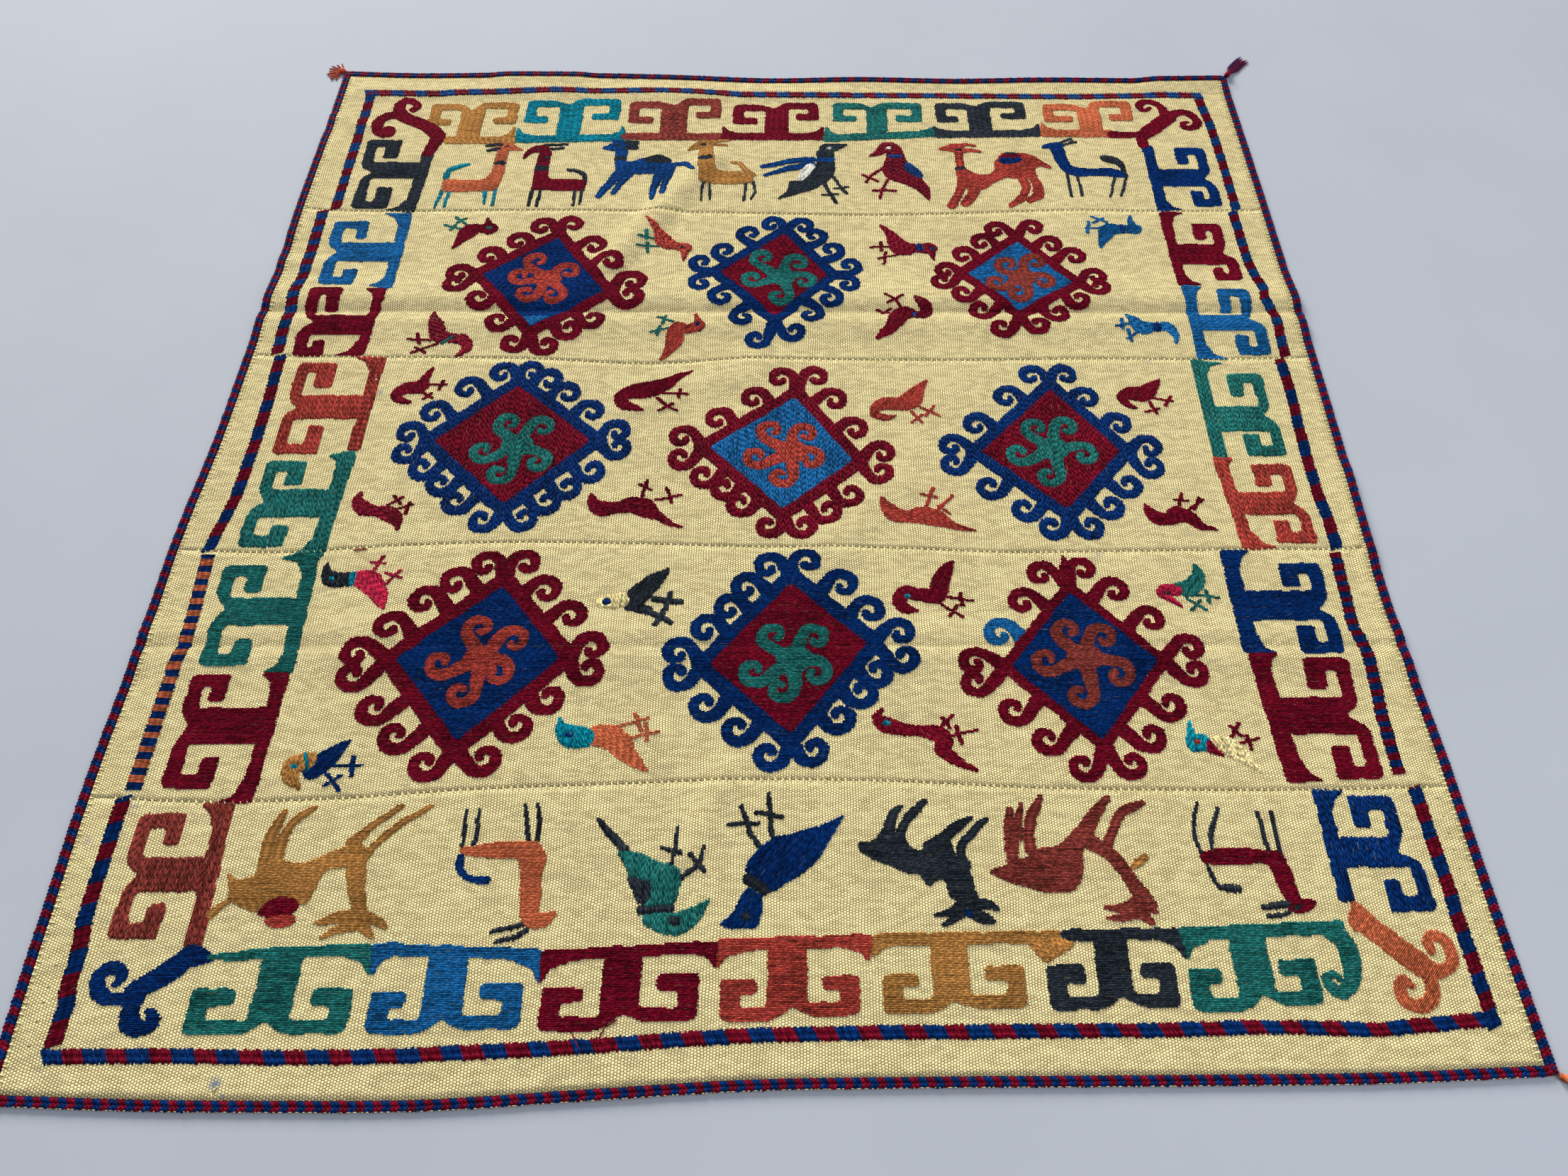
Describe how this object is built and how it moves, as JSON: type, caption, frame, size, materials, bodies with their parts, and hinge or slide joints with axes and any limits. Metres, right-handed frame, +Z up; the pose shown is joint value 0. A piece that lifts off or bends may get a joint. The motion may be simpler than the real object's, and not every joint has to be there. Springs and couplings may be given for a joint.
{
  "type": "embroidered flat-woven rug",
  "caption": "Flat-woven cream wool rug of sewn strips with embroidered diamonds, birds and horned border figures, a plaited edge and corner tassels.",
  "frame": {"origin": "the middle of the laid rug, on the floor it lies on", "axes": "+Z up out of the floor, +Y along the rug's length towards its top end, +X along the woven strips towards the rug's right side as seen from above"},
  "size_m": [2.0862, 2.2268, 0.0125],
  "materials": {
    "panel_1 wool": "rough wool",
    "panel_2 wool": "rough wool",
    "panel_3 wool": "rough wool",
    "panel_4 wool": "rough wool",
    "panel_5 wool": "rough wool",
    "edge_left wool": "rough wool",
    "edge_right wool": "rough wool",
    "edge_bottom wool": "rough wool",
    "edge_top wool": "rough wool",
    "tassel_top_left wool": "rough wool",
    "tassel_top_right wool": "rough wool",
    "tassel_bottom_right wool": "rough wool",
    "tassel_bottom_left wool": "rough wool"
  },
  "bodies": {
    "root": {"panel_1": "panel_1 wool", "panel_2": "panel_2 wool", "panel_3": "panel_3 wool", "panel_4": "panel_4 wool", "panel_5": "panel_5 wool", "edge_left": "edge_left wool", "edge_right": "edge_right wool", "edge_bottom": "edge_bottom wool", "edge_top": "edge_top wool", "tassel_top_left": "tassel_top_left wool", "tassel_top_right": "tassel_top_right wool", "tassel_bottom_right": "tassel_bottom_right wool", "tassel_bottom_left": "tassel_bottom_left wool"}
  },
  "joints": []
}
